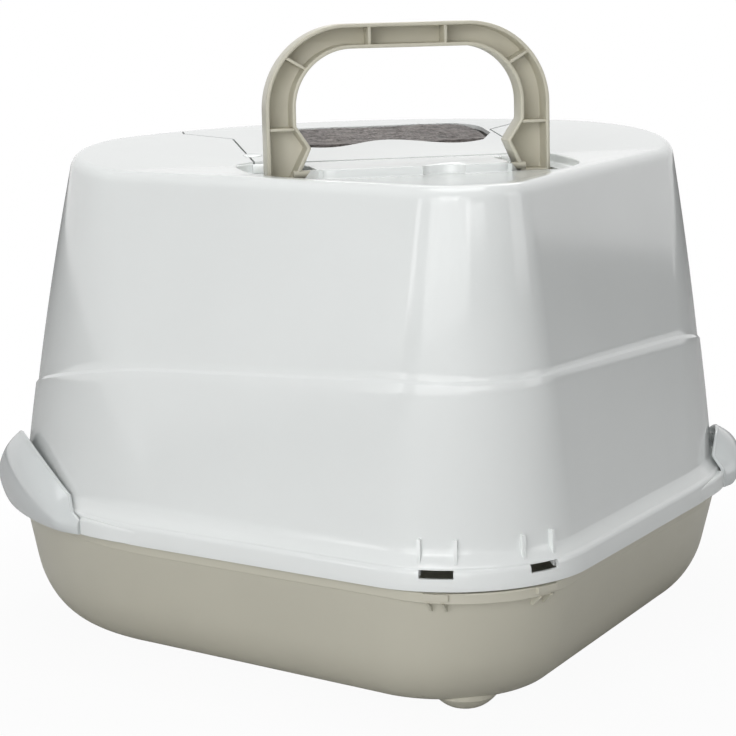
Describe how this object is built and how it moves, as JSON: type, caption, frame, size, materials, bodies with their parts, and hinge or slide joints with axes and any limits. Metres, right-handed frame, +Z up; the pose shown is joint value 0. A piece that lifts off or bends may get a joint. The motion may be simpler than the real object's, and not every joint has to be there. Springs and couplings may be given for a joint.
{
  "type": "covered corner litter box",
  "caption": "Corner litter box with a rounded tray, a drafted hood, a hinged front lid with swing door and air filter, side latches and a folding carrying handle.",
  "frame": {"origin": "on the floor under the middle of the object's bounding box", "axes": "+Z up, +X to the right seen from the rounded back corner, +Y towards the curved front with the doorway"},
  "size_m": [0.5735, 0.482, 0.449],
  "materials": {
    "tray_plastic": "warm grey moulded plastic, slightly glossy",
    "hood_plastic": "white moulded plastic, glossy",
    "lid_plastic": "white moulded plastic, glossy",
    "door_plastic": "translucent smoke plastic",
    "handle_plastic": "warm grey moulded plastic, slightly glossy",
    "latch_plastic": "white moulded plastic, glossy",
    "filter_felt": "grey needled felt",
    "grille_plastic": "white moulded plastic, satin"
  },
  "bodies": {
    "tray": {"tray": "tray_plastic"},
    "hood": {"hood": "hood_plastic"},
    "front_lid": {"front_lid": "lid_plastic", "filter_pad": "filter_felt", "filter_grille": "grille_plastic"},
    "swing_door": {"swing_door": "door_plastic"},
    "handle": {"handle": "handle_plastic"},
    "latch_left": {"latch_left": "latch_plastic"},
    "latch_right": {"latch_right": "latch_plastic"}
  },
  "joints": [
    {"name": "hood_lift", "type": "slide", "parent": "tray", "child": "hood", "axis": [0, 0, 1], "range_m": [0, 0.15]},
    {"name": "lid_hinge", "type": "hinge", "parent": "hood", "child": "front_lid", "pos_m": [0, 0.022, 0.3472], "axis": [1, 0, 0], "range_deg": [0, 85]},
    {"name": "door_swing", "type": "hinge", "parent": "front_lid", "child": "swing_door", "pos_m": [0, 0.199, 0.301], "axis": [1, 0, 0], "range_deg": [-70, 70]},
    {"name": "handle_fold", "type": "hinge", "parent": "hood", "child": "handle", "pos_m": [0, -0.032, 0.347], "axis": [1, 0, 0], "range_deg": [0, 90]},
    {"name": "latch_right_turn", "type": "hinge", "parent": "hood", "child": "latch_right", "pos_m": [0.25922, 0.05098, 0.118], "axis": [-0.284, -0.9588, 0], "range_deg": [0, 8]},
    {"name": "latch_left_turn", "type": "hinge", "parent": "hood", "child": "latch_left", "pos_m": [-0.25922, 0.05098, 0.118], "axis": [-0.284, 0.9588, 0], "range_deg": [0, 8]}
  ]
}
